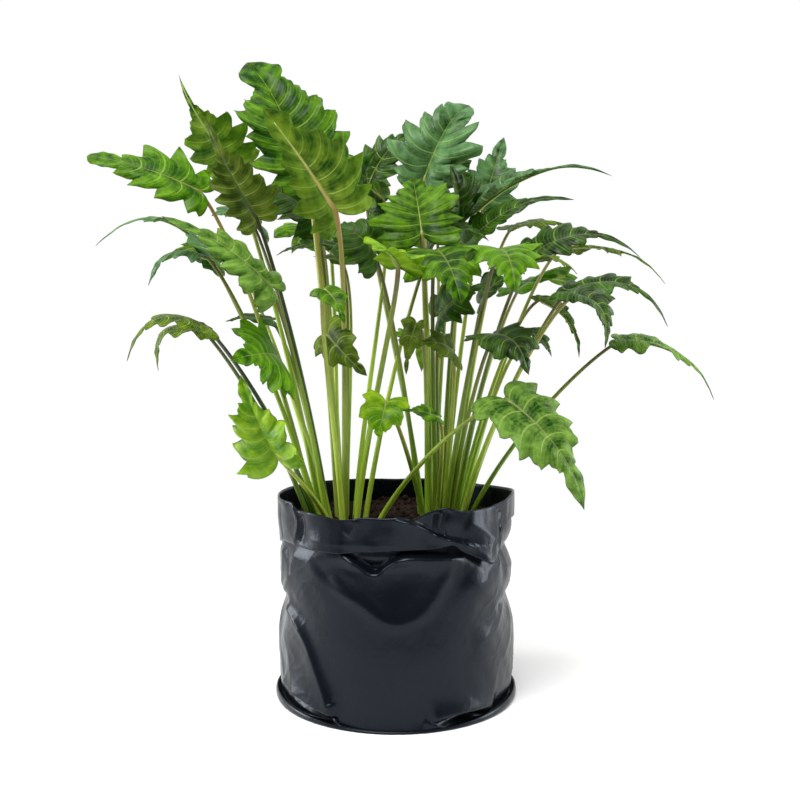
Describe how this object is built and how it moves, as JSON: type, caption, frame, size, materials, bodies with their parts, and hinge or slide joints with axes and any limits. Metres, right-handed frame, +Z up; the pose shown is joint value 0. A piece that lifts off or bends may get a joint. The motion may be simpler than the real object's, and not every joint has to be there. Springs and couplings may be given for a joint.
{
  "type": "potted philodendron lacerum",
  "caption": "Bushy potted philodendron with deeply lobed leaves on long stalks, in a round black polythene grow bag with a folded-down cuff.",
  "frame": {"origin": "middle of the bag's flat base, on the surface that the bag stands on", "axes": "+Z up, front of the bag towards -Y, +X to the right as seen from the front"},
  "size_m": [0.6072, 0.4353, 0.6197],
  "materials": {
    "film": "black polythene film, semi-gloss and wrinkled",
    "soil": "dark brown potting mix of peat and coir, damp and crumbly, matte",
    "leaf_green": "living leaf, glossy mid-green with a paler midrib and side veins",
    "leaf_dark": "living leaf, glossy dark green with blue-grey highlights",
    "leaf_olive": "living leaf, satin olive underside or ageing leaf with thin brown edges",
    "leaf_lime": "young leaf or lit underside, satin lime green and slightly translucent"
  },
  "bodies": {
    "root": {"grow_bag": "film", "potting_soil": "soil", "leaf_01": "leaf_green", "leaf_02": "leaf_lime", "leaf_03": "leaf_olive", "leaf_04": "leaf_dark", "leaf_05": "leaf_lime", "leaf_06": "leaf_green", "leaf_07": "leaf_dark", "leaf_08": "leaf_dark", "leaf_09": "leaf_dark", "leaf_10": "leaf_dark", "leaf_11": "leaf_green", "leaf_12": "leaf_lime", "leaf_13": "leaf_dark", "leaf_14": "leaf_dark", "leaf_15": "leaf_dark", "leaf_16": "leaf_dark", "leaf_17": "leaf_dark", "leaf_18": "leaf_dark", "leaf_19": "leaf_dark", "leaf_20": "leaf_dark", "leaf_21": "leaf_lime", "leaf_22": "leaf_green", "leaf_23": "leaf_olive", "leaf_24": "leaf_lime", "leaf_25": "leaf_green", "leaf_26": "leaf_olive", "leaf_27": "leaf_green", "leaf_28": "leaf_green", "leaf_29": "leaf_dark", "leaf_30": "leaf_green", "leaf_31": "leaf_dark", "leaf_32": "leaf_dark", "leaf_33": "leaf_green", "leaf_34": "leaf_dark", "leaf_35": "leaf_dark", "leaf_36": "leaf_olive", "leaf_37": "leaf_dark", "leaf_38": "leaf_olive", "leaf_39": "leaf_green", "leaf_40": "leaf_green", "leaf_41": "leaf_dark", "leaf_42": "leaf_olive", "leaf_43": "leaf_dark", "leaf_44": "leaf_dark", "leaf_45": "leaf_dark", "leaf_46": "leaf_green", "leaf_47": "leaf_dark", "leaf_48": "leaf_dark", "leaf_49": "leaf_olive", "leaf_50": "leaf_green", "leaf_51": "leaf_dark", "leaf_52": "leaf_dark", "leaf_53": "leaf_olive", "leaf_54": "leaf_green", "leaf_55": "leaf_green", "leaf_56": "leaf_green"}
  },
  "joints": []
}
